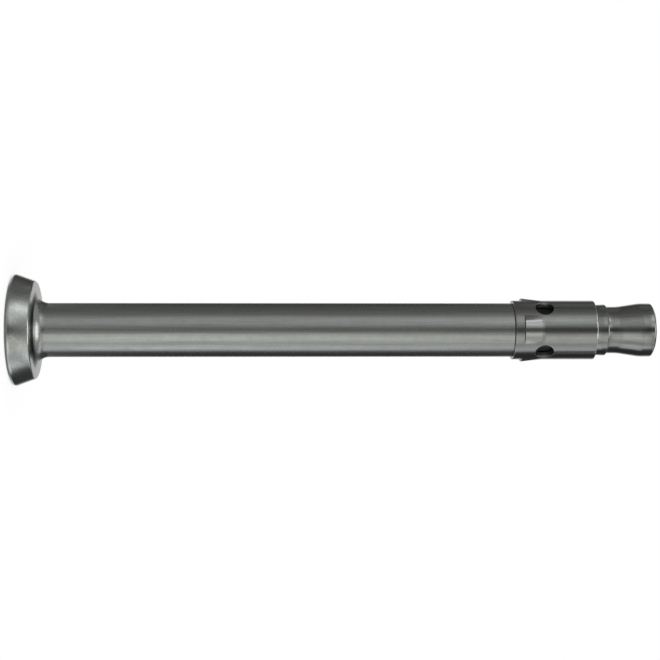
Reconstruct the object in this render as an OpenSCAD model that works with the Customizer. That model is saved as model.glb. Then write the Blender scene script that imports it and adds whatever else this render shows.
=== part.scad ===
// Nail anchor for a 6 mm drilled hole: a headed cone bolt carries a rolled expansion sleeve.
// It stands on its head. The origin is the centre of the head's top face, and +Z runs along
// the axis towards the cone. Every length is in millimetres and every angle in degrees.

/* [Head] */
// Diameter of the head where its side and its top face would meet
head_d = 11.45; // [10.5:0.05:13]
// Height of the head, from the top face to the seat
head_h = 2.3; // [1.5:0.05:3]
// Outer diameter of the flat seat under the head
seat_d = 9.75; // [9:0.05:10.3]
// Radius on the edge of the top face
head_edge_r = 0.35; // [0.1:0.05:0.4]

/* [Shank] */
// Diameter of the shank
shank_d = 5.4; // [5:0.05:5.6]
// Length of the shank, from the seat to the shoulder behind the sleeve
shank_l = 47.6; // [20:0.05:120]
// Radius of the hollow fillet between the seat and the shank
seat_fillet_r = 1.3; // [0.5:0.05:1.6]
// Chamfer on the shoulder behind the sleeve
shoulder_chamfer = 0.06; // [0.05:0.01:0.2]

/* [Cone end] */
// Diameter of the neck under and ahead of the sleeve
neck_d = 4.7; // [4.2:0.05:4.8]
// Length of the bead that keeps the sleeve off the cone
bead_l = 1.15; // [0.7:0.05:1.6]
// Diameter of the bead at the sleeve
bead_rear_d = 5.06; // [4.85:0.01:5.1]
// Diameter of the bead at its front edge
bead_front_d = 5.18; // [5:0.01:5.2]
// Chamfer on the front edge of the bead
bead_chamfer = 0.08; // [0.04:0.01:0.09]
// Length of the bare neck between the bead and the cone
throat_l = 1.25; // [0.6:0.05:2.5]
// Length of the cone
cone_l = 2.2; // [1.5:0.05:4]
// Diameter of the tip ahead of the cone
tip_d = 5.38; // [5.1:0.02:5.6]
// Length of the tip, its chamfer included
tip_l = 1.35; // [0.8:0.05:3]
// Length of the chamfer on the tip
tip_chamfer_l = 0.2; // [0.1:0.05:0.5]
// Radial height of the chamfer on the tip
tip_chamfer_h = 0.3; // [0.1:0.05:0.5]

/* [Expansion sleeve] */
// Length of the sleeve
sleeve_l = 8.2; // [7:0.05:14]
// Thickness of the rolled sheet
sheet_t = 0.57; // [0.45:0.01:0.8]
// Radial running clearance between the neck and the sleeve
neck_clearance = 0.05; // [0.02:0.01:0.1]
// Total end play of the sleeve between the shoulder and the bead
end_play = 0.1; // [0.05:0.01:0.3]
// Chamfer on the outer edges of the sleeve's ends
sleeve_chamfer = 0.06; // [0.05:0.01:0.2]
// Angle between the nubs of neighbouring fingers, with a slit midway
finger_a = 98; // [90:1:110]
// Angle of the open seam at the back, between the ends of the rolled sheet
gap_a = 36; // [24:1:60]
// Width of the slits between the fingers
slit_w = 0.1; // [0.1:0.05:0.5]

/* [Sleeve windows] */
// Diameter of the round window at the end of each slit
window_d = 1.76; // [1.2:0.02:2.2]
// Distance of the windows' centres from the rear end of the sleeve
window_z = 3.02; // [2.4:0.02:4]

/* [Sleeve nubs] */
// Height of the half-sheared nubs above the sleeve
nub_h = 0.22; // [0.1:0.01:0.22]
// Width of a nub along its sheared edge
nub_w = 3; // [2:0.05:3.2]
// Length of a nub from its sheared edge to its tip
nub_l = 2.05; // [1.6:0.05:3]
// Distance of the sheared edges from the rear end of the sleeve
nub_z = 0.9; // [0.5:0.05:2]
// How much smaller the hollow behind a nub is on every side
die_clearance = 0.05; // [0.02:0.01:0.1]

/* [Hidden] */
$fn = 96;
bolt_colour = [0.50, 0.51, 0.50];
sleeve_colour = [0.56, 0.57, 0.56];
cut_margin = 1;
// How far the round outline of a nub runs on past the end of its ramp
nub_margin = 0.1;
// The middle finger faces -Y
front_a = -90;

head_r = head_d / 2;
seat_r = seat_d / 2;
shank_r = shank_d / 2;
neck_r = neck_d / 2;
bead_rear_r = bead_rear_d / 2;
bead_front_r = bead_front_d / 2;
tip_r = tip_d / 2;

// Heights of the bolt's sections, from the head's top face upwards
fillet_z = head_h + seat_fillet_r;
shoulder_z = head_h + shank_l;
bead_z = shoulder_z + sleeve_l + end_play;
bead_end_z = bead_z + bead_l;
cone_z = bead_end_z + throat_l;
cone_end_z = cone_z + cone_l;
tip_z = cone_end_z + tip_l;

// The circle that rounds the head's top edge touches the top face and the tapered side
side_a = atan((head_r - seat_r) / head_h);
edge_r = head_r - head_edge_r * tan(side_a) - head_edge_r / cos(side_a);
edge_side_r = edge_r + head_edge_r * cos(side_a);
edge_side_z = head_edge_r * (1 + sin(side_a));

// The circle that hollows the corner under the head touches the seat and the shank
fillet_r = shank_r + seat_fillet_r;

// The sleeve's radii and places
bore_r = neck_r + neck_clearance;
sleeve_r = bore_r + sheet_t;
sleeve_z = shoulder_z + end_play / 2;
slit_a = finger_a / 2;
cut_r = sleeve_r + nub_h + cut_margin;
nub_tip_l = nub_l + nub_margin;
nub_r = (pow(nub_tip_l, 2) + pow(nub_w / 2, 2)) / (2 * nub_tip_l);
nub_centre_z = nub_z + nub_tip_l - nub_r;

// Half of the bolt's section with straight sides
module bolt_section() {
    polygon([
        [0, 0],
        [edge_r, 0],
        [edge_side_r, edge_side_z],
        [seat_r, head_h],
        [shank_r, head_h],
        [shank_r, shoulder_z - shoulder_chamfer],
        [shank_r - shoulder_chamfer, shoulder_z],
        [neck_r, shoulder_z],
        [neck_r, bead_z],
        [bead_rear_r, bead_z],
        [bead_front_r, bead_end_z - bead_chamfer],
        [bead_front_r - bead_chamfer, bead_end_z],
        [neck_r, bead_end_z],
        [neck_r, cone_z],
        [tip_r, cone_end_z],
        [tip_r, tip_z - tip_chamfer_l],
        [tip_r - tip_chamfer_h, tip_z],
        [0, tip_z],
    ]);
}

// What fills the corner between the seat and the shank
module seat_fillet_section() {
    difference() {
        polygon([[shank_r, head_h], [fillet_r, head_h], [shank_r, fillet_z]]);
        translate([fillet_r, fillet_z]) circle(r = seat_fillet_r);
    }
}

// The headed bolt, formed in one piece from the head to the cone
module cone_bolt() {
    color(bolt_colour)
        rotate_extrude() {
            bolt_section();
            translate([edge_r, head_edge_r]) circle(r = head_edge_r);
            seat_fillet_section();
        }
}

// A closed tube of the sheet's thickness, before it is cut
module sleeve_tube() {
    rotate(180) rotate_extrude()
        polygon([
            [bore_r, 0],
            [sleeve_r - sleeve_chamfer, 0],
            [sleeve_r, sleeve_chamfer],
            [sleeve_r, sleeve_l - sleeve_chamfer],
            [sleeve_r - sleeve_chamfer, sleeve_l],
            [bore_r, sleeve_l],
        ]);
}

// A ramp that rises nub_h above a wall at its sheared edge and runs down into the wall.
// Its outline is a circle cut off by the sheared edge. The inset makes all of it smaller.
module nub(wall_r, depth, inset) {
    intersection() {
        rotate(180) rotate_extrude()
            polygon([
                [wall_r - depth, nub_z + inset],
                [wall_r + nub_h * (1 - inset / nub_l), nub_z + inset],
                [wall_r - depth, nub_z + nub_l * (1 + depth / nub_h)],
            ]);
        translate([0, 0, nub_centre_z]) rotate([0, 90, 0]) cylinder(r = nub_r - inset, h = cut_r);
    }
}

// A round window, and the slit that runs from it to the front end of the sleeve
module window_and_slit(angle) {
    rotate(angle) {
        translate([0, 0, window_z]) rotate([0, 90, 0]) cylinder(d = window_d, h = cut_r);
        translate([0, -slit_w / 2, window_z]) cube([cut_r, slit_w, sleeve_l - window_z + cut_margin]);
    }
}

// The open seam at the back, where the two ends of the rolled sheet stand apart
module seam_gap() {
    half_w = 2 * cut_r * tan(gap_a / 2);
    translate([0, 0, -cut_margin])
        linear_extrude(sleeve_l + 2 * cut_margin)
            polygon([[0, 0], [-2 * cut_r, half_w], [-2 * cut_r, -half_w]]);
}

// The rolled sleeve, with one nub on each finger and a slit between neighbouring fingers
module expansion_sleeve() {
    color(sleeve_colour)
        translate([0, 0, sleeve_z]) rotate(front_a)
            difference() {
                union() {
                    sleeve_tube();
                    for (angle = [-finger_a, 0, finger_a]) rotate(angle) nub(sleeve_r, sheet_t / 2, 0);
                }
                for (angle = [-finger_a, 0, finger_a]) rotate(angle) nub(bore_r, cut_margin, die_clearance);
                for (angle = [-slit_a, slit_a]) window_and_slit(angle);
                seam_gap();
            }
}

cone_bolt();
expansion_sleeve();
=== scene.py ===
"""Dresses a nail anchor: a headed cone bolt and its rolled expansion sleeve, on a white floor."""

import logging
import math
from dataclasses import dataclass
from enum import Enum

import bmesh
import bpy
from mathutils import Matrix, Vector


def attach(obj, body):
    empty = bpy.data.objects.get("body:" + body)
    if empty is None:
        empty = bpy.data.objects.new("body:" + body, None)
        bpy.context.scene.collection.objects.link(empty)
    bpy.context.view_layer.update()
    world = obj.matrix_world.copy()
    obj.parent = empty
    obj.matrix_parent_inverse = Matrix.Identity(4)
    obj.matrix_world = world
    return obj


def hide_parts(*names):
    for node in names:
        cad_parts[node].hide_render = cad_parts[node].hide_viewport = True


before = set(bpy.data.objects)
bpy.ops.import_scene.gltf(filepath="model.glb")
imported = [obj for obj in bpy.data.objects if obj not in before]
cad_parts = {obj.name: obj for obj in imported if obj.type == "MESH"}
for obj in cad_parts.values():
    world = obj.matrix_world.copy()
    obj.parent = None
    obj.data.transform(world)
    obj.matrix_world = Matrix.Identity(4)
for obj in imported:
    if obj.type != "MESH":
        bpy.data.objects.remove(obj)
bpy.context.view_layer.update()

MM = 0.001
# Highest weight of the weighted normals, which keeps large faces flat beside small roundings
LARGE_FACES_WIN = 100
LOG = logging.getLogger("nail_anchor")

# Sockets of a colour Mix node, which share their names with its float sockets
MIX_A, MIX_B, MIX_RESULT = 6, 7, 2

Colour = tuple[float, float, float]
Stops = tuple[tuple[float, float], ...]


class Body(Enum):
    """The two bodies of the anchor that pieces ride on."""

    BOLT = "bolt"
    SLEEVE = "sleeve"


class Wiring:
    """Adds and links shader nodes in one node tree."""

    def __init__(self, tree: bpy.types.NodeTree) -> None:
        """Takes over a tree and empties it.

        Args:
            tree: The material's, world's or group's node tree.
        """
        self.tree = tree
        self.tree.nodes.clear()

    def add(self, kind: str, **settings: object) -> bpy.types.Node:
        """Adds one node.

        Args:
            kind: Blender's name for the node type.
            settings: Properties to set on the node.

        Returns:
            The new node.
        """
        node = self.tree.nodes.new(kind)
        for name, value in settings.items():
            setattr(node, name, value)
        return node

    def link(self, source: bpy.types.NodeSocket, target: bpy.types.NodeSocket) -> None:
        """Links an output socket to an input socket."""
        self.tree.links.new(source, target)

    def place_group(self, group: bpy.types.NodeTree, **values: float) -> bpy.types.Node:
        """Places a node group and sets its inputs.

        Args:
            group: The shader node group.
            values: A value for each named input.

        Returns:
            The group node.
        """
        node = self.add("ShaderNodeGroup", node_tree=group)
        for name, value in values.items():
            node.inputs[name].default_value = value
        return node


def new_material(name: str) -> tuple[bpy.types.Material, Wiring, bpy.types.NodeSocket]:
    """Starts a material.

    Args:
        name: The material's name.

    Returns:
        The material, the wiring of its nodes and the socket that its shader goes into.
    """
    material = bpy.data.materials.new(name)
    material.use_nodes = True
    wiring = Wiring(material.node_tree)
    return material, wiring, wiring.add("ShaderNodeOutputMaterial").inputs["Surface"]


def new_group(name: str, inputs: list[str], outputs: list[str]) -> tuple[bpy.types.NodeTree, Wiring]:
    """Starts a shader node group with float sockets.

    Args:
        name: The group's name.
        inputs: Names of its inputs.
        outputs: Names of its outputs.

    Returns:
        The group and the wiring of its nodes.
    """
    group = bpy.data.node_groups.new(name, "ShaderNodeTree")
    for socket in inputs:
        group.interface.new_socket(socket, in_out="INPUT", socket_type="NodeSocketFloat")
    for socket in outputs:
        group.interface.new_socket(socket, in_out="OUTPUT", socket_type="NodeSocketFloat")
    return group, Wiring(group)


class SteelEffects:
    """The surface effects that the steel finishes share, each a node group."""

    def __init__(self) -> None:
        """Builds the groups once."""
        self.streaks = self._streaks()
        self.mottle = self._mottle()
        self.nicks = self._nicks()
        self.zone = self._zone()

    @staticmethod
    def _streaks() -> bpy.types.NodeTree:
        """Builds fine lines along the axis, as a drawing die leaves them, and a fine grain below a height.

        Returns:
            A group with the output Streak, from 0 to 1.
        """
        group, wiring = new_group("drawn_streaks", ["Across", "Along", "From"], ["Streak"])
        start = wiring.add("NodeGroupInput")
        end = wiring.add("NodeGroupOutput")
        place = wiring.add("ShaderNodeTexCoord")
        split = wiring.add("ShaderNodeSeparateXYZ")
        wiring.link(place.outputs["Object"], split.inputs["Vector"])
        drawn = wiring.add("ShaderNodeMath", operation="GREATER_THAN")
        wiring.link(split.outputs["Z"], drawn.inputs[0])
        wiring.link(start.outputs["From"], drawn.inputs[1])
        length = wiring.add("ShaderNodeMix", data_type="FLOAT")
        wiring.link(drawn.outputs["Value"], length.inputs["Factor"])
        wiring.link(start.outputs["Across"], length.inputs["A"])
        wiring.link(start.outputs["Along"], length.inputs["B"])
        stretch = wiring.add("ShaderNodeCombineXYZ")
        wiring.link(start.outputs["Across"], stretch.inputs["X"])
        wiring.link(start.outputs["Across"], stretch.inputs["Y"])
        wiring.link(length.outputs["Result"], stretch.inputs["Z"])
        scaled = wiring.add("ShaderNodeVectorMath", operation="MULTIPLY")
        wiring.link(place.outputs["Object"], scaled.inputs[0])
        wiring.link(stretch.outputs["Vector"], scaled.inputs[1])
        noise = wiring.add("ShaderNodeTexNoise")
        noise.inputs["Scale"].default_value = 1.0
        noise.inputs["Detail"].default_value = 2.0
        noise.inputs["Roughness"].default_value = 0.6
        wiring.link(scaled.outputs["Vector"], noise.inputs["Vector"])
        spread = wiring.add("ShaderNodeMapRange")
        spread.inputs["From Min"].default_value = 0.3
        spread.inputs["From Max"].default_value = 0.7
        wiring.link(noise.outputs["Fac"], spread.inputs["Value"])
        wiring.link(spread.outputs["Result"], end.inputs["Streak"])
        return group

    @staticmethod
    def _mottle() -> bpy.types.NodeTree:
        """Builds the soft patches of a thin plating.

        Returns:
            A group with the output Mottle, from 0 to 1.
        """
        group, wiring = new_group("plating_mottle", ["Scale", "Contrast"], ["Mottle"])
        start = wiring.add("NodeGroupInput")
        end = wiring.add("NodeGroupOutput")
        place = wiring.add("ShaderNodeTexCoord")
        noise = wiring.add("ShaderNodeTexNoise")
        noise.inputs["Detail"].default_value = 5.0
        noise.inputs["Roughness"].default_value = 0.65
        wiring.link(place.outputs["Object"], noise.inputs["Vector"])
        wiring.link(start.outputs["Scale"], noise.inputs["Scale"])
        centred = wiring.add("ShaderNodeMath", operation="SUBTRACT")
        centred.inputs[1].default_value = 0.5
        wiring.link(noise.outputs["Fac"], centred.inputs[0])
        spread = wiring.add("ShaderNodeMath", operation="MULTIPLY_ADD", use_clamp=True)
        spread.inputs[2].default_value = 0.5
        wiring.link(centred.outputs["Value"], spread.inputs[0])
        wiring.link(start.outputs["Contrast"], spread.inputs[1])
        wiring.link(spread.outputs["Value"], end.inputs["Mottle"])
        return group

    @staticmethod
    def _nicks() -> bpy.types.NodeTree:
        """Builds small scattered dents from handling in bulk.

        Returns:
            A group with the output Nick, 1 in a dent and 0 elsewhere.
        """
        group, wiring = new_group("handling_nicks", ["Scale", "Reach"], ["Nick"])
        start = wiring.add("NodeGroupInput")
        end = wiring.add("NodeGroupOutput")
        place = wiring.add("ShaderNodeTexCoord")
        cells = wiring.add("ShaderNodeTexVoronoi", feature="F1")
        wiring.link(place.outputs["Object"], cells.inputs["Vector"])
        wiring.link(start.outputs["Scale"], cells.inputs["Scale"])
        fade = wiring.add("ShaderNodeMapRange", interpolation_type="SMOOTHSTEP")
        fade.inputs["From Min"].default_value = 0.0
        fade.inputs["To Min"].default_value = 1.0
        fade.inputs["To Max"].default_value = 0.0
        wiring.link(cells.outputs["Distance"], fade.inputs["Value"])
        wiring.link(start.outputs["Reach"], fade.inputs["From Max"])
        wiring.link(fade.outputs["Result"], end.inputs["Nick"])
        return group

    @staticmethod
    def _zone() -> bpy.types.NodeTree:
        """Builds the mask of a ring about the axis, which can fade out towards the back.

        Returns:
            A group with the output Zone, 1 inside the ring and 0 outside it.
        """
        inputs = ["Low", "High", "Inner", "Outer", "Front", "Fade", "Soft"]
        group, wiring = new_group("ring_zone", inputs, ["Zone"])
        start = wiring.add("NodeGroupInput")
        end = wiring.add("NodeGroupOutput")
        place = wiring.add("ShaderNodeTexCoord")
        split = wiring.add("ShaderNodeSeparateXYZ")
        wiring.link(place.outputs["Object"], split.inputs["Vector"])
        flat = wiring.add("ShaderNodeVectorMath", operation="MULTIPLY")
        flat.inputs[1].default_value = (1.0, 1.0, 0.0)
        wiring.link(place.outputs["Object"], flat.inputs[0])
        radius = wiring.add("ShaderNodeVectorMath", operation="LENGTH")
        wiring.link(flat.outputs["Vector"], radius.inputs[0])
        front = wiring.add("ShaderNodeMath", operation="MULTIPLY")
        front.inputs[1].default_value = -1.0
        wiring.link(split.outputs["Y"], front.inputs[0])
        limits = [
            (split.outputs["Z"], start.outputs["Low"], start.outputs["Soft"]),
            (start.outputs["High"], split.outputs["Z"], start.outputs["Soft"]),
            (radius.outputs["Value"], start.outputs["Inner"], start.outputs["Soft"]),
            (start.outputs["Outer"], radius.outputs["Value"], start.outputs["Soft"]),
            (front.outputs["Value"], start.outputs["Front"], start.outputs["Fade"]),
        ]
        depth = None
        for inside, limit, reach in limits:
            margin = wiring.add("ShaderNodeMath", operation="SUBTRACT")
            wiring.link(inside, margin.inputs[0])
            wiring.link(limit, margin.inputs[1])
            share = wiring.add("ShaderNodeMath", operation="DIVIDE")
            wiring.link(margin.outputs["Value"], share.inputs[0])
            wiring.link(reach, share.inputs[1])
            if depth is None:
                depth = share
                continue
            least = wiring.add("ShaderNodeMath", operation="MINIMUM")
            wiring.link(depth.outputs["Value"], least.inputs[0])
            wiring.link(share.outputs["Value"], least.inputs[1])
            depth = least
        blend = wiring.add("ShaderNodeMapRange", interpolation_type="SMOOTHSTEP")
        blend.inputs["From Min"].default_value = -1.0
        blend.inputs["From Max"].default_value = 1.0
        wiring.link(depth.outputs["Value"], blend.inputs["Value"])
        wiring.link(blend.outputs["Result"], end.inputs["Zone"])
        return group


def grey(level: float) -> Colour:
    """A grey of one level."""
    return (level, level, level)


@dataclass(frozen=True)
class Zone:
    """A ring of the surface with a tint and a roughness of its own. Lengths are in millimetres.

    The ring lies between two heights and two radii, and in front of a distance from the axis towards
    the camera. A limit that is left out lies clear of the anchor. The zone blends in over the length
    soft at its heights and radii, and over the length fade towards the back.
    """

    tint: Colour
    wear: float = 1.0
    low: float = -1.0
    high: float = 70.0
    inner: float = -1.0
    outer: float = 10.0
    front: float = -50.0
    soft: float = 0.03
    fade: float = 0.03

    def limits(self) -> dict[str, float]:
        """The ring's limits in metres, by the names of the mask's inputs."""
        named = {"Low": self.low, "High": self.high, "Inner": self.inner, "Outer": self.outer}
        named |= {"Front": self.front, "Fade": self.fade, "Soft": self.soft}
        return {name: value * MM for name, value in named.items()}


@dataclass(frozen=True)
class SteelFinish:
    """A satin steel finish with drawn lines, plating patches, nicks, and zones of wear, painted shade and
    painted light.
    """

    name: str
    light: Colour
    dark: Colour
    smooth: float
    rough: float
    across: float = 5200.0
    along: float = 140.0
    drawn_from: float = 0.0
    line_depth: float = 1.2e-6
    patch_scale: float = 900.0
    patch_contrast: float = 1.6
    patch_share: float = 0.45
    nick_scale: float = 700.0
    nick_reach: float = 0.16
    zones: tuple[Zone, ...] = ()

    def material(self, effects: SteelEffects) -> bpy.types.Material:
        """Builds the finish as a material.

        Args:
            effects: The shared node groups.

        Returns:
            The material.
        """
        steel, wiring, surface = new_material(self.name)
        shader = wiring.add("ShaderNodeBsdfPrincipled")
        shader.inputs["Metallic"].default_value = 1.0
        wiring.link(shader.outputs["BSDF"], surface)

        drawn_from = self.drawn_from * MM
        streaks = wiring.place_group(effects.streaks, Across=self.across, Along=self.along, From=drawn_from)
        patches = wiring.place_group(effects.mottle, Scale=self.patch_scale, Contrast=self.patch_contrast)
        nicks = wiring.place_group(effects.nicks, Scale=self.nick_scale, Reach=self.nick_reach)

        tone = wiring.add("ShaderNodeMix", data_type="RGBA")
        tone.inputs[MIX_A].default_value = (*self.light, 1.0)
        tone.inputs[MIX_B].default_value = (*self.dark, 1.0)
        blend = wiring.add("ShaderNodeMix", data_type="FLOAT")
        blend.inputs["Factor"].default_value = self.patch_share
        wiring.link(streaks.outputs["Streak"], blend.inputs["A"])
        wiring.link(patches.outputs["Mottle"], blend.inputs["B"])
        wiring.link(blend.outputs["Result"], tone.inputs["Factor"])

        polish = wiring.add("ShaderNodeMapRange")
        polish.inputs["From Min"].default_value = 0.25
        polish.inputs["From Max"].default_value = 0.75
        polish.inputs["To Min"].default_value = self.smooth
        polish.inputs["To Max"].default_value = self.rough
        wiring.link(patches.outputs["Mottle"], polish.inputs["Value"])

        colour, roughness = tone.outputs[MIX_RESULT], polish.outputs["Result"]
        for zone in self.zones:
            mask = wiring.place_group(effects.zone, **zone.limits())
            tinted = wiring.add("ShaderNodeMix", data_type="RGBA", blend_type="MULTIPLY")
            tinted.inputs[MIX_B].default_value = (*zone.tint, 1.0)
            wiring.link(mask.outputs["Zone"], tinted.inputs["Factor"])
            wiring.link(colour, tinted.inputs[MIX_A])
            worn = wiring.add("ShaderNodeMapRange")
            worn.inputs["To Min"].default_value = 1.0
            worn.inputs["To Max"].default_value = zone.wear
            wiring.link(mask.outputs["Zone"], worn.inputs["Value"])
            product = wiring.add("ShaderNodeMath", operation="MULTIPLY")
            wiring.link(roughness, product.inputs[0])
            wiring.link(worn.outputs["Result"], product.inputs[1])
            colour, roughness = tinted.outputs[MIX_RESULT], product.outputs["Value"]
        wiring.link(colour, shader.inputs["Base Color"])
        wiring.link(roughness, shader.inputs["Roughness"])

        relief = wiring.add("ShaderNodeMath", operation="SUBTRACT")
        wiring.link(streaks.outputs["Streak"], relief.inputs[0])
        wiring.link(nicks.outputs["Nick"], relief.inputs[1])
        bump = wiring.add("ShaderNodeBump")
        bump.inputs["Strength"].default_value = 1.0
        bump.inputs["Distance"].default_value = self.line_depth
        wiring.link(relief.outputs["Value"], bump.inputs["Height"])
        wiring.link(bump.outputs["Normal"], shader.inputs["Normal"])
        return steel


def new_object(mesh: bmesh.types.BMesh, name: str) -> bpy.types.Object:
    """Turns a bmesh into an object at the origin.

    Args:
        mesh: The bmesh, which is freed.
        name: The object's name.

    Returns:
        The object, linked into the scene.
    """
    data = bpy.data.meshes.new(name)
    mesh.to_mesh(data)
    mesh.free()
    item = bpy.data.objects.new(name, data)
    bpy.context.collection.objects.link(item)
    return item


def finish_piece(mesh: bmesh.types.BMesh, name: str, material: bpy.types.Material) -> bpy.types.Object:
    """Turns a bmesh into a smooth-shaded piece at the origin.

    Args:
        mesh: The bmesh, which is freed.
        name: The piece's name.
        material: Its material.

    Returns:
        The piece's object.
    """
    bmesh.ops.recalc_face_normals(mesh, faces=mesh.faces)
    for face in mesh.faces:
        face.smooth = True
    piece = new_object(mesh, name)
    piece.data.materials.append(material)
    normals = piece.modifiers.new("flat_faces_first", "WEIGHTED_NORMAL")
    normals.weight = LARGE_FACES_WIN
    return piece


@dataclass
class ConeBolt:
    """The headed bolt, turned from one outline. Lengths are in millimetres.

    A rounding is given by how far back from its corner it starts.
    """

    head_d: float = 11.45
    head_h: float = 2.3
    head_round: float = 0.575
    seat_d: float = 9.75
    seat_round: float = 0.14
    seat_fillet_r: float = 1.3
    shank_d: float = 5.4
    shank_l: float = 47.63
    shoulder_chamfer: float = 0.015
    shoulder_round: float = 0.005
    neck_d: float = 4.7
    sleeve_room: float = 8.27
    bead_l: float = 1.15
    bead_rear_d: float = 5.06
    bead_rear_round: float = 0.04
    bead_front_d: float = 5.18
    bead_front_round: float = 0.1
    bead_foot_round: float = 0.08
    throat_l: float = 1.25
    throat_round: float = 0.35
    cone_l: float = 2.2
    cone_round: float = 0.3
    tip_d: float = 5.38
    tip_l: float = 1.35
    tip_chamfer_l: float = 0.2
    tip_chamfer_h: float = 0.3
    tip_round: float = 0.07
    end_round: float = 0.06
    steps: int = 160
    least_round_steps: int = 5
    round_steps_per_mm: float = 8.0
    merge_m: float = 1e-7

    @property
    def shoulder_z(self) -> float:
        """Height of the shoulder behind the sleeve."""
        return self.head_h + self.shank_l

    @property
    def bead_z(self) -> float:
        """Height at which the bead starts."""
        return self.shoulder_z + self.sleeve_room

    @property
    def bead_end_z(self) -> float:
        """Height at which the bead ends."""
        return self.bead_z + self.bead_l

    def outline(self) -> list[tuple[float, float, float]]:
        """Lists the corners of half of the bolt's section.

        Returns:
            For each corner its radius, its height and how far back its rounding starts.
        """
        cone_z = self.bead_end_z + self.throat_l
        cone_end_z = cone_z + self.cone_l
        tip_z = cone_end_z + self.tip_l
        shank_r = self.shank_d / 2
        neck_r = self.neck_d / 2
        tip_r = self.tip_d / 2
        return [
            (0.0, 0.0, 0.0),
            (self.head_d / 2, 0.0, self.head_round),
            (self.seat_d / 2, self.head_h, self.seat_round),
            (shank_r, self.head_h, self.seat_fillet_r),
            (shank_r, self.shoulder_z - self.shoulder_chamfer, self.shoulder_round),
            (shank_r - self.shoulder_chamfer, self.shoulder_z, self.shoulder_round),
            (neck_r, self.shoulder_z, 0.0),
            (neck_r, self.bead_z, 0.0),
            (self.bead_rear_d / 2, self.bead_z, self.bead_rear_round),
            (self.bead_front_d / 2, self.bead_end_z, self.bead_front_round),
            (neck_r, self.bead_end_z, self.bead_foot_round),
            (neck_r, cone_z, self.throat_round),
            (tip_r, cone_end_z, self.cone_round),
            (tip_r, tip_z - self.tip_chamfer_l, self.tip_round),
            (tip_r - self.tip_chamfer_h, tip_z, self.end_round),
            (0.0, tip_z, 0.0),
        ]

    def finish(self) -> SteelFinish:
        """Describes the bolt's steel, which is drawn along the shank and smoother at both ends.

        Returns:
            The finish with its zones.
        """
        head_end = self.head_h + 0.01
        zones = (
            # The neck in the shade of the sleeve
            Zone(grey(0.12), wear=1.3, low=self.shoulder_z - 0.01, high=self.bead_z - 0.01, outer=2.46),
            # The smooth cone end
            Zone(grey(0.78), wear=0.4, low=self.bead_z + 0.02),
            # Painted shade on the front edge of the bead, which dims its highlight
            Zone(grey(0.7), low=self.bead_end_z - 0.11, high=self.bead_end_z + 0.05, inner=2.36, outer=2.7),
            # The head, a touch lighter and smoother, and painted light that brightens its side
            Zone((1.04, 1.05, 1.05), wear=0.66, high=head_end),
            Zone(grey(1.2), low=0.3, high=2.2, inner=4.6),
            # Painted shade in the corner under the head, strongest towards the camera and fading out towards
            # the back
            Zone((0.11, 0.105, 0.1), wear=1.2, low=2.0, high=2.5, inner=3.33, outer=3.85,
                front=1.2, soft=0.05, fade=1.6),
        )
        return SteelFinish("drawn_bolt_steel", light=(0.45, 0.469, 0.45), dark=(0.315, 0.328, 0.312),
            smooth=0.25, rough=0.3, patch_scale=1400.0, patch_contrast=1.2, drawn_from=head_end, zones=zones)

    def build(self, effects: SteelEffects) -> bpy.types.Object:
        """Rounds the outline's corners and spins it about the axis.

        Args:
            effects: The node groups that the finish uses.

        Returns:
            The bolt's piece.
        """
        mesh = bmesh.new()
        corners = self.outline()
        chain = [mesh.verts.new((r * MM, 0.0, z * MM)) for r, z, _ in corners]
        for low, high in zip(chain, chain[1:]):
            mesh.edges.new((low, high))
        for vert, (_, _, back) in zip(chain, corners):
            if back > 0.0:
                count = round(self.least_round_steps + self.round_steps_per_mm * back)
                bmesh.ops.bevel(mesh, geom=[vert], offset=back * MM, offset_type="OFFSET", segments=count,
                    profile=0.5, affect="VERTICES", material=-1)
        bmesh.ops.spin(mesh, geom=mesh.verts[:] + mesh.edges[:], cent=(0.0, 0.0, 0.0), axis=(0.0, 0.0, 1.0),
            dvec=(0.0, 0.0, 0.0), angle=math.tau, steps=self.steps, use_merge=True)
        bmesh.ops.remove_doubles(mesh, verts=mesh.verts, dist=self.merge_m)
        bolt = finish_piece(mesh, "turned_bolt", self.finish().material(effects))
        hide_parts("cone_bolt")
        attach(bolt, Body.BOLT.value)
        return bolt


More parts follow.
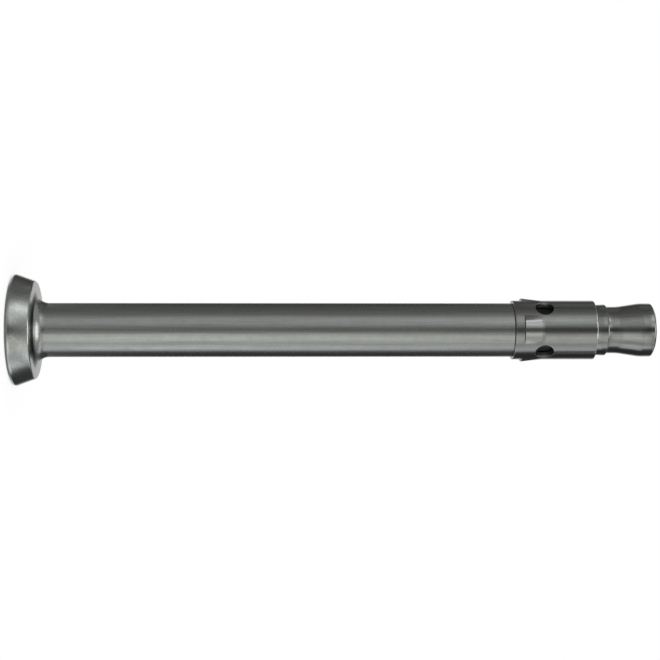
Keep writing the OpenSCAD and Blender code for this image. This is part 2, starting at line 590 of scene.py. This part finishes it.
@dataclass
class ExpansionSleeve:
    """The sleeve, made as a flat blank that is pierced, pressed and rolled. Lengths are in millimetres.

    The fields from pitch on lay out the blank's grid lines and say how close counts as touching.
    """

    base_z: float = 49.95
    length: float = 8.2
    bore_r: float = 2.4
    sheet_t: float = 0.57
    finger_a: float = 98.0
    gap_a: float = 36.0
    slit_w: float = 0.1
    window_d: float = 1.86
    window_z: float = 3.02
    window_patch: float = 1.15
    nub_h: float = 0.22
    nub_w: float = 3.15
    nub_l: float = 2.05
    nub_z: float = 0.9
    nub_side: float = 0.85
    shear: float = 0.05
    draw_in: float = 0.03
    draw_in_l: float = 0.8
    draw_in_half_w: float = 1.35
    draw_in_steepness: int = 8
    edge_round: float = 0.02
    edge_round_steps: int = 3
    cut_edge_a: float = 57.0
    pitch: float = 0.1
    rear_pitch: float = 0.2
    front_pitch: float = 0.4
    end_strip: float = 0.15
    rear_strip: float = 0.4
    shear_lead: tuple[float, float] = (0.12, 0.02)
    shear_tail: float = 0.04
    shear_rows: int = 5
    window_rings: int = 3
    near: float = 1e-4
    merge: float = 1e-5

    @property
    def outer_r(self) -> float:
        """Radius of the plain barrel."""
        return self.bore_r + self.sheet_t

    @property
    def half_width(self) -> float:
        """Half of the blank's width, measured along the outer face."""
        return math.radians(180.0 - self.gap_a / 2) * self.outer_r

    @property
    def slit_x(self) -> float:
        """Distance of the slits from the blank's middle line."""
        return math.radians(self.finger_a / 2) * self.outer_r

    @staticmethod
    def spaced(marks: list[float], pitch: float) -> list[float]:
        """Fills the gaps between marks with evenly spaced lines.

        Args:
            marks: Places that must have a line, in rising order.
            pitch: The widest gap to leave.

        Returns:
            All the places, in rising order.
        """
        slack = 1e-6
        lines = [marks[0]]
        for low, high in zip(marks, marks[1:]):
            count = max(1, math.ceil((high - low) / pitch - slack))
            lines += [low + (high - low) * (i + 1) / count for i in range(count)]
        return lines

    def columns(self) -> list[float]:
        """Places of the blank's lines across its width, symmetric about the middle."""
        half_slit = self.slit_w / 2
        marks = [0.0, self.slit_x - self.window_patch, self.slit_x - half_slit, self.slit_x + half_slit,
            self.slit_x + self.window_patch, self.half_width - self.end_strip, self.half_width]
        right = self.spaced(marks, self.pitch)
        return [-x for x in reversed(right[1:])] + right

    def rows(self) -> list[float]:
        """Places of the blank's lines along its length, close together at the sheared edges."""
        low, high = self.window_z - self.window_patch, self.window_z + self.window_patch
        foot, top = self.nub_z - self.shear / 2, self.nub_z + self.shear / 2
        first_lead, last_lead = (foot - lead for lead in self.shear_lead)
        rear = self.spaced([0.0, self.end_strip, self.rear_strip, first_lead], self.rear_pitch)
        sheared = [foot + self.shear * i / self.shear_rows for i in range(self.shear_rows + 1)]
        middle = self.spaced([top + self.shear_tail, low, high], self.pitch)
        front = self.spaced([high, self.length - self.end_strip], self.front_pitch)[1:]
        return rear + [last_lead] + sheared + middle + front + [self.length]

    def blank(self) -> bmesh.types.BMesh:
        """Lays out the flat blank as a grid in x and y.

        Returns:
            The blank, one face thick.
        """
        across, along = self.columns(), self.rows()
        mesh = bmesh.new()
        bmesh.ops.create_grid(mesh, x_segments=len(across) - 1, y_segments=len(along) - 1, size=1.0)
        for vert in mesh.verts:
            column = round((vert.co.x + 1.0) / 2.0 * (len(across) - 1))
            row = round((vert.co.y + 1.0) / 2.0 * (len(along) - 1))
            vert.co = Vector((across[column], along[row], 0.0))
        return mesh

    def pierce(self, mesh: bmesh.types.BMesh, middle: float) -> None:
        """Cuts one round window and the slit from it to the front end.

        Args:
            mesh: The flat blank.
            middle: Place of the window across the blank.
        """
        patch, half_slit, radius = self.window_patch, self.slit_w / 2, self.window_d / 2
        gone = []
        for face in mesh.faces:
            centre = face.calc_center_median()
            dx, dy = abs(centre.x - middle), centre.y - self.window_z
            if (dx < patch and abs(dy) < patch) or (dx < half_slit and dy > 0.0):
                gone.append(face)
        bmesh.ops.delete(mesh, geom=gone, context="FACES")
        rim = []
        for edge in mesh.edges:
            spots = [(abs(v.co.x - middle), abs(v.co.y - self.window_z)) for v in edge.verts]
            on_patch = all(max(dx, dy) < patch + self.near for dx, dy in spots)
            if edge.is_boundary and on_patch and any(max(dx, dy) > patch - self.near for dx, dy in spots):
                rim.append(edge)
        centre = Vector((middle, self.window_z, 0.0))
        slit_reach = math.sqrt(radius**2 - half_slit**2)
        targets = {}
        for vert in {v for edge in rim for v in edge.verts}:
            arm = vert.co - centre
            at_slit = abs(abs(arm.x) - half_slit) < self.near and arm.y > 0.0
            reach = Vector((arm.x, slit_reach, 0.0)) if at_slit else arm.normalized() * radius
            targets[vert.co.to_tuple(4)] = reach + centre
        starts = {spot: Vector((*spot[:2], 0.0)) for spot in targets}
        owners = {v: v.co.to_tuple(4) for edge in rim for v in edge.verts}
        for ring in range(1, self.window_rings + 1):
            grown = bmesh.ops.extrude_edge_only(mesh, edges=rim)["geom"]
            fresh = [item for item in grown if isinstance(item, bmesh.types.BMVert)]
            rim = [item for item in grown if isinstance(item, bmesh.types.BMEdge)]
            old = {v.co.to_tuple(6): spot for v, spot in owners.items()}
            owners = {v: old[v.co.to_tuple(6)] for v in fresh}
            for vert, spot in owners.items():
                vert.co = starts[spot].lerp(targets[spot], ring / self.window_rings)
            rim = [edge for edge in rim if all(v in owners for v in edge.verts)]

    def thicken(self, mesh: bmesh.types.BMesh) -> None:
        """Gives the blank its thickness and rounds its cut edges.

        Args:
            mesh: The flat, pierced blank.
        """
        lifted = bmesh.ops.extrude_face_region(mesh, geom=mesh.faces[:])["geom"]
        top = [item for item in lifted if isinstance(item, bmesh.types.BMVert)]
        bmesh.ops.translate(mesh, verts=top, vec=(0.0, 0.0, self.sheet_t))
        bmesh.ops.recalc_face_normals(mesh, faces=mesh.faces)
        cut = []
        for edge in mesh.edges:
            flat = abs(edge.verts[0].co.z - edge.verts[1].co.z) < self.near
            if flat and len(edge.link_faces) == 2 and edge.calc_face_angle() > math.radians(self.cut_edge_a):
                cut.append(edge)
        bmesh.ops.bevel(mesh, geom=cut, offset=self.edge_round, offset_type="OFFSET",
            segments=self.edge_round_steps, profile=0.5, affect="EDGES", clamp_overlap=False, material=-1)

    def rise(self, x: float, y: float) -> float:
        """Height of the pressed nubs at a place on the blank.

        Args:
            x: Place across the blank.
            y: Place along the blank, from its rear end.

        Returns:
            How far the sheet is pushed outwards there.
        """
        pitch = math.radians(self.finger_a) * self.outer_r
        side = x - pitch * max(-1, min(1, round(x / pitch)))
        run = y - self.nub_z
        inside = self.nub_w / 2 - abs(side)
        ramp = min(1.0, max(0.0, 1.0 - run / self.nub_l))
        step = min(1.0, max(0.0, (run + self.shear / 2) / self.shear))
        flank = min(1.0, max(0.0, inside / self.nub_side))
        sheared = step * step * (2.0 - step)
        sloped = flank * flank * (3.0 - 2.0 * flank)
        return self.nub_h * ramp * sheared * sloped

    def roll(self, mesh: bmesh.types.BMesh) -> None:
        """Presses the nubs and rolls the blank round the neck, its middle finger facing -Y.

        Pressing the middle nub draws the rear edge in a little behind it.

        Args:
            mesh: The flat blank with its thickness.
        """
        for vert in mesh.verts:
            x, y, depth = vert.co
            radius = self.bore_r + depth + self.rise(x, y)
            sideways = 1.0 + (x / self.draw_in_half_w) ** self.draw_in_steepness
            y += self.draw_in * max(0.0, 1.0 - y / self.draw_in_l) / sideways
            turn = x / self.outer_r
            vert.co = Vector((radius * math.sin(turn), -radius * math.cos(turn), self.base_z + y)) * MM

    def finish(self) -> SteelFinish:
        """Describes the sleeve's steel, with painted light on the nubs and a painted highlight on the front
        edge.

        Returns:
            The finish with its zones.
        """
        shear_z = self.base_z + self.nub_z
        ramp_end = shear_z + self.nub_l
        end = self.base_z + self.length
        barrel = self.outer_r
        zones = (
            # The bore and the walls of the windows and slits
            Zone((0.9, 0.9, 0.89), wear=2.4, low=self.base_z + 0.3, high=end - self.end_strip,
                outer=barrel - 0.015, soft=0.012),
            # The sheared edges of the nubs, rougher and darkened by painted shadow under the step, and their
            # ramps, smoother and brightened by painted light
            Zone((0.35, 0.35, 0.34), wear=1.2, low=shear_z - 0.1, high=shear_z + 0.03,
                inner=barrel + 0.02, soft=0.015),
            Zone((1.42, 1.42, 1.44), wear=0.8, low=shear_z + 0.05, high=ramp_end + 0.25,
                inner=barrel + 0.03, soft=0.012),
            # Painted highlight on the front edge, brightest on its part towards the camera
            Zone(grey(1.35), low=end - 0.09, inner=barrel - 0.07, soft=0.02),
            Zone(grey(1.95), low=end - 0.12, inner=barrel - 0.47, front=2.85),
        )
        return SteelFinish("rolled_sheet_steel", light=(0.355, 0.369, 0.354), dark=(0.27, 0.281, 0.267),
            smooth=0.13, rough=0.17, zones=zones)

    def build(self, effects: SteelEffects) -> bpy.types.Object:
        """Makes the sleeve from its blank.

        Args:
            effects: The node groups that the finish uses.

        Returns:
            The sleeve's piece.
        """
        mesh = self.blank()
        for middle in (-self.slit_x, self.slit_x):
            self.pierce(mesh, middle)
        bmesh.ops.remove_doubles(mesh, verts=mesh.verts, dist=self.merge)
        self.thicken(mesh)
        self.roll(mesh)
        sleeve = finish_piece(mesh, "rolled_sleeve", self.finish().material(effects))
        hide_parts("expansion_sleeve")
        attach(sleeve, Body.SLEEVE.value)
        return sleeve


def between(stops: Stops, bearing: float) -> float:
    """Value between two stops.

    Args:
        stops: Pairs of a bearing and a value, in rising order.
        bearing: The bearing in degrees.

    Returns:
        The value at the bearing, in a straight line from stop to stop.
    """
    for (left, first), (right, second) in zip(stops, stops[1:]):
        if bearing <= right:
            share = max(0.0, (bearing - left) / (right - left))
            return first + (second - first) * share
    return stops[-1][1]


def other_side(stops: Stops) -> Stops:
    """Stops at the same bearings on the other side."""
    return tuple((-bearing, value) for bearing, value in reversed(stops))


@dataclass(frozen=True)
class TentWall:
    """A curved wall of a light tent, which the steel mirrors.

    The foot and the head are a radius and a height in metres. Each stop is a bearing, in degrees
    from the camera's side towards +X, and the cloth's level there. Without stops of its own the
    head has those of the foot.
    """

    name: str
    foot: tuple[float, float]
    head: tuple[float, float]
    stops: Stops
    head_stops: Stops = ()
    warm_red: float = 0.025
    warm_blue: float = 0.035
    near: float = 1e-4
    warmth: Stops = (
        (-180.0, 0.0), (-60.0, 0.3), (-30.0, -0.4), (-10.0, 0.3), (0.0, 0.8), (20.0, 0.8), (34.0, 0.7),
        (50.0, 0.3), (62.0, -0.3), (75.0, -0.8), (96.0, -0.8), (110.0, -0.5), (180.0, -0.3))

    def shade(self, bearing: float, stops: Stops) -> tuple[float, float, float, float]:
        """Colour of the cloth.

        Args:
            bearing: The bearing in degrees.
            stops: The stops of the wall's foot or head.

        Returns:
            The colour, faintly warmer or cooler than grey.
        """
        level, warm = between(stops, bearing), between(self.warmth, bearing)
        return (level * (1.0 + self.warm_red * warm), level, level * (1.0 - self.warm_blue * warm), 1.0)

    def build(self) -> bpy.types.Object:
        """Makes the wall as an arc round the anchor.

        Returns:
            The wall, seen by mirror rays alone.
        """
        first, last = self.stops[0][0], self.stops[-1][0]
        turn = math.radians(first)
        mesh = bmesh.new()
        ends = [mesh.verts.new((radius * math.sin(turn), -radius * math.cos(turn), height))
            for radius, height in (self.foot, self.head)]
        edge = mesh.edges.new(ends)
        bmesh.ops.spin(mesh, geom=ends + [edge], cent=(0.0, 0.0, 0.0), axis=(0.0, 0.0, 1.0),
            dvec=(0.0, 0.0, 0.0), angle=math.radians(last - first), steps=round(last - first))
        layer = mesh.verts.layers.float_color.new("cloth")
        for vert in mesh.verts:
            off_foot = math.hypot(vert.co.xy.length - self.foot[0], vert.co.z - self.foot[1])
            stops = self.head_stops if self.head_stops and off_foot > self.near else self.stops
            vert[layer] = self.shade(math.degrees(math.atan2(vert.co.x, -vert.co.y)), stops)
        cloth = new_object(mesh, self.name)
        cloth.data.materials.append(self._material())
        cloth.visible_camera = False
        cloth.visible_diffuse = False
        cloth.visible_shadow = False
        return cloth

    def _material(self) -> bpy.types.Material:
        """Builds lit cloth with the wall's own shades.

        Returns:
            The material.
        """
        cloth, wiring, surface = new_material(self.name)
        glow = wiring.add("ShaderNodeEmission")
        glow.inputs["Strength"].default_value = 1.0
        shade = wiring.add("ShaderNodeAttribute", attribute_name="cloth")
        wiring.link(shade.outputs["Color"], glow.inputs["Color"])
        wiring.link(glow.outputs["Emission"], surface)
        return cloth


TENT_R = 0.6

# Light strips behind the anchor, which only its outline mirrors
LOW_STRIP: Stops = ((155.0, 0.16), (164.0, 0.90), (180.0, 0.70))
MIDDLE_STRIP: Stops = ((147.0, 0.28), (158.0, 0.75), (180.0, 0.55))
HIGH_STRIP: Stops = ((166.0, 0.50), (180.0, 0.60))

# Dim cloth to the left of the middle strip
MIDDLE_LEFT: Stops = ((-139.0, 0.10), (-132.0, 0.12), (-118.0, 0.22), (-106.0, 0.18))

# Light near the ground, which only views from above mirror
SKIRT_LIGHT: Stops = (
    (-180.0, 0.45), (-168.0, 0.60), (-152.0, 1.00), (-138.0, 0.85), (-118.0, 0.40), (-100.0, 0.18),
    (-60.0, 0.30), (-36.0, 0.60), (0.0, 0.25), (36.0, 0.90), (90.0, 0.80), (110.0, 0.20),
    (122.0, 0.40), (140.0, 0.90), (156.0, 0.95), (170.0, 0.60), (180.0, 0.45))


@dataclass
class Studio:
    """A white world and floor, an overhead soft lamp, and a light tent round the anchor.

    Lengths are in metres and the lamp's power in watts. The floor's shadow is kept near the anchor,
    and further off the floor glows as white as the world.
    """

    world_level: float = 1.0
    floor_half: float = 4.0
    floor_level: float = 0.9
    shadow_near: float = 0.01
    shadow_far: float = 0.2
    glow_near: float = 0.78
    lamp_size: tuple[float, float] = (0.42, 0.3)
    lamp_power: float = 0.8
    lamp_place: tuple[float, float, float] = (0.035, -0.22, 0.55)
    lamp_aim: tuple[float, float, float] = (0.0, 0.0, 0.03)
    walls: tuple[TentWall, ...] = (
        # Mirrored by the shank
        TentWall("low_wall", (TENT_R, -0.09), (TENT_R, 0.147), (
            *other_side(LOW_STRIP), (-148.0, 0.06), (-122.0, 0.14), (-86.0, 0.20), (-70.0, 0.27),
            (-61.0, 0.30), (-55.0, 0.52), (-40.0, 0.65), (-32.0, 0.63), (-20.0, 0.48), (-9.0, 0.30),
            (-4.0, 0.20), (4.0, 0.21), (10.0, 0.40), (16.0, 0.82), (26.0, 1.32), (36.0, 1.40), (44.0, 1.10),
            (54.0, 0.70), (60.0, 0.56), (66.0, 0.68), (71.0, 1.06), (80.0, 1.26), (90.0, 1.24), (96.0, 0.92),
            (100.0, 0.22), (107.0, 0.06), (118.0, 0.05), (148.0, 0.06), *LOW_STRIP), (
            *other_side(LOW_STRIP), (-148.0, 0.05), (-122.0, 0.13), (-86.0, 0.18), (-70.0, 0.25),
            (-61.0, 0.30), (-55.0, 0.51), (-40.0, 0.60), (-32.0, 0.59), (-20.0, 0.46), (-9.0, 0.23),
            (-4.0, 0.10), (4.0, 0.11), (10.0, 0.26), (16.0, 0.50), (26.0, 0.72), (36.0, 0.82), (44.0, 0.84),
            (54.0, 0.67), (60.0, 0.55), (66.0, 0.57), (71.0, 0.70), (80.0, 0.78), (90.0, 0.78), (96.0, 0.64),
            (100.0, 0.20), (107.0, 0.08), (118.0, 0.06), (148.0, 0.05), *LOW_STRIP)),
        # Mirrored in views from above
        TentWall("skirt", (TENT_R, -0.42), (TENT_R, -0.14), SKIRT_LIGHT),
        TentWall("hem", (TENT_R, -0.14), (TENT_R, -0.09), SKIRT_LIGHT, (
            *other_side(LOW_STRIP), (-148.0, 0.06), (-122.0, 0.12), (-100.0, 0.16), (-60.0, 0.30),
            (-36.0, 0.60), (0.0, 0.25), (36.0, 0.90), (90.0, 0.80), (107.0, 0.06), (148.0, 0.05),
            *LOW_STRIP)),
        # Mirrored by the sleeve and the cone end
        TentWall("middle_wall", (TENT_R, 0.147), (TENT_R, 0.255), (
            *other_side(MIDDLE_STRIP), *MIDDLE_LEFT, (-90.0, 0.15), (-78.0, 0.21), (-68.0, 0.29),
            (-59.0, 0.48), (-51.0, 0.76), (-42.0, 0.90), (-32.0, 0.92), (-20.0, 0.58), (-9.0, 0.21),
            (-3.0, 0.11), (3.0, 0.13), (9.0, 0.22), (16.0, 0.52), (24.0, 0.86), (34.0, 1.00), (44.0, 0.93),
            (52.0, 0.84), (59.0, 0.61), (66.0, 0.68), (78.0, 0.85), (84.0, 0.86), (90.0, 0.50), (96.0, 0.16),
            (102.0, 0.07), (121.0, 0.05), (139.0, 0.06), *MIDDLE_STRIP), (
            *other_side(MIDDLE_STRIP), *MIDDLE_LEFT, (-90.0, 0.16), (-78.0, 0.24), (-68.0, 0.30),
            (-59.0, 0.42), (-51.0, 0.55), (-42.0, 0.63), (-32.0, 0.65), (-20.0, 0.45), (-9.0, 0.14),
            (-3.0, 0.05), (3.0, 0.07), (9.0, 0.20), (16.0, 0.46), (24.0, 0.72), (34.0, 0.84), (44.0, 0.80),
            (52.0, 0.72), (59.0, 0.58), (66.0, 0.66), (78.0, 0.82), (84.0, 0.86), (90.0, 0.54), (96.0, 0.20),
            (102.0, 0.09), (121.0, 0.06), (139.0, 0.06), *MIDDLE_STRIP)),
        # Mirrored by the nubs, the cone and the head
        TentWall("upper_wall", (TENT_R, 0.255), (TENT_R, 0.325), (
            *other_side(HIGH_STRIP), (-160.0, 0.12), (-110.0, 0.16), (-76.0, 0.30), (-66.0, 0.70),
            (-58.0, 1.20), (-48.0, 1.40), (-40.0, 0.90), (-33.0, 0.76), (-27.0, 0.92), (-20.0, 0.90),
            (-13.0, 0.55), (-7.0, 0.17), (-3.0, 0.10), (3.0, 0.11), (7.0, 0.24), (11.0, 0.55), (16.0, 0.84),
            (24.0, 0.70), (31.0, 0.52), (39.0, 0.58), (47.0, 0.53), (60.0, 0.50), (90.0, 0.40),
            (110.0, 0.10), (160.0, 0.10), *HIGH_STRIP)),
        TentWall("high_wall", (TENT_R, 0.325), (TENT_R, 0.46), (
            *other_side(HIGH_STRIP), (-160.0, 0.12), (-120.0, 0.11), (-100.0, 0.14), (-80.0, 0.23),
            (-70.0, 0.50), (-60.0, 0.98), (-52.0, 1.22), (-46.0, 1.22), (-39.0, 0.92), (-32.0, 0.66),
            (-25.0, 0.50), (-12.0, 0.36), (0.0, 0.21), (8.0, 0.23), (16.0, 0.41), (26.0, 0.68),
            (36.0, 0.88), (44.0, 0.98), (51.0, 0.94), (58.0, 0.86), (64.0, 1.10), (72.0, 1.44), (84.0, 1.46),
            (96.0, 1.44), (104.0, 1.20), (112.0, 0.70), (120.0, 0.22), (160.0, 0.10), *HIGH_STRIP)),
        TentWall("roof", (TENT_R, 0.46), (0.08, 0.85), ((-125.0, 0.44), (125.0, 0.44))),
        TentWall("left_back_roof", (TENT_R, 0.46), (0.0, 0.85), ((-180.0, 0.40), (-125.0, 0.50))),
        TentWall("right_back_roof", (TENT_R, 0.46), (0.0, 0.85), ((125.0, 0.06), (180.0, 0.10))),
        TentWall("ground", (0.02, -0.42), (TENT_R, -0.42), ((-180.0, 0.35), (180.0, 0.35))),
    )

    def build(self) -> None:
        """Sets up the world, the floor, the lamp and the tent."""
        self._world()
        self._floor()
        self._lamp()
        for wall in self.walls:
            wall.build()
        bpy.context.scene.view_settings.view_transform = "Standard"

    def _world(self) -> None:
        """Makes the world an even white."""
        world = bpy.data.worlds.new("white_studio")
        bpy.context.scene.world = world
        world.use_nodes = True
        wiring = Wiring(world.node_tree)
        surface = wiring.add("ShaderNodeOutputWorld")
        white = wiring.add("ShaderNodeBackground")
        white.inputs["Color"].default_value = (1.0, 1.0, 1.0, 1.0)
        white.inputs["Strength"].default_value = self.world_level
        wiring.link(white.outputs["Background"], surface.inputs["Surface"])

    def _floor(self) -> None:
        """Lays a wide white floor that keeps a soft shadow."""
        mesh = bmesh.new()
        bmesh.ops.create_grid(mesh, x_segments=8, y_segments=8, size=self.floor_half)
        floor = new_object(mesh, "floor")
        floor.visible_glossy = False
        paper, wiring, surface = new_material("white_floor")
        matt = wiring.add("ShaderNodeBsdfDiffuse")
        matt.inputs["Color"].default_value = (*grey(self.floor_level), 1.0)
        glow = wiring.add("ShaderNodeEmission")
        glow.inputs["Color"].default_value = (1.0, 1.0, 1.0, 1.0)
        glow.inputs["Strength"].default_value = 1.0
        path = wiring.add("ShaderNodeLightPath")
        place = wiring.add("ShaderNodeTexCoord")
        reach = wiring.add("ShaderNodeVectorMath", operation="LENGTH")
        wiring.link(place.outputs["Object"], reach.inputs[0])
        fade = wiring.add("ShaderNodeMapRange", interpolation_type="SMOOTHSTEP")
        fade.inputs["From Min"].default_value = self.shadow_near
        fade.inputs["From Max"].default_value = self.shadow_far
        fade.inputs["To Min"].default_value = self.glow_near
        fade.inputs["To Max"].default_value = 1.0
        wiring.link(reach.outputs["Value"], fade.inputs["Value"])
        share = wiring.add("ShaderNodeMath", operation="MULTIPLY")
        wiring.link(path.outputs["Is Camera Ray"], share.inputs[0])
        wiring.link(fade.outputs["Result"], share.inputs[1])
        choice = wiring.add("ShaderNodeMixShader")
        wiring.link(share.outputs["Value"], choice.inputs[0])
        wiring.link(matt.outputs["BSDF"], choice.inputs[1])
        wiring.link(glow.outputs["Emission"], choice.inputs[2])
        wiring.link(choice.outputs["Shader"], surface)
        floor.data.materials.append(paper)

    def _lamp(self) -> None:
        """Hangs a soft lamp above and in front of the anchor."""
        light = bpy.data.lights.new("overhead_softbox", "AREA")
        light.shape = "RECTANGLE"
        light.size, light.size_y = self.lamp_size
        light.energy = self.lamp_power
        lamp = bpy.data.objects.new("overhead_softbox", light)
        place = Vector(self.lamp_place)
        aim = (Vector(self.lamp_aim) - place).to_track_quat("-Z", "Y")
        lamp.matrix_world = Matrix.Translation(place) @ aim.to_matrix().to_4x4()
        bpy.context.collection.objects.link(lamp)


@dataclass
class PhotoCamera:
    """A camera turned on its side, so that the standing anchor lies across the picture. In metres."""

    distance: float = 0.148
    height: float = 0.026
    aim_height: float = 0.03161
    focal_mm: float = 80.36
    sensor_mm: float = 36.0
    clip_start: float = 0.01
    clip_end: float = 20.0

    def build(self) -> bpy.types.Object:
        """Places the camera with the anchor's tip to the right.

        Returns:
            The camera.
        """
        lens = bpy.data.cameras.new("photo_camera")
        lens.sensor_width = self.sensor_mm
        lens.lens = self.focal_mm
        lens.clip_start = self.clip_start
        lens.clip_end = self.clip_end
        camera = bpy.data.objects.new("photo_camera", lens)
        place = Vector((0.0, -self.distance, self.height))
        back = (place - Vector((0.0, 0.0, self.aim_height))).normalized()
        right = (Vector((0.0, 0.0, 1.0)) - back * back.z).normalized()
        up = back.cross(right)
        camera.matrix_world = Matrix.Translation(place) @ Matrix((right, up, back)).transposed().to_4x4()
        bpy.context.collection.objects.link(camera)
        bpy.context.scene.camera = camera
        return camera


def main() -> None:
    """Builds the anchor, its finishes, the studio and the camera."""
    logging.basicConfig(level=logging.INFO, format="%(name)s: %(message)s")
    effects = SteelEffects()
    for piece in (ConeBolt().build(effects), ExpansionSleeve().build(effects)):
        LOG.info("built %s with %d faces", piece.name, len(piece.data.polygons))
    Studio().build()
    PhotoCamera().build()
    LOG.info("set up the studio and the camera")


if __name__ == "__main__":
    main()
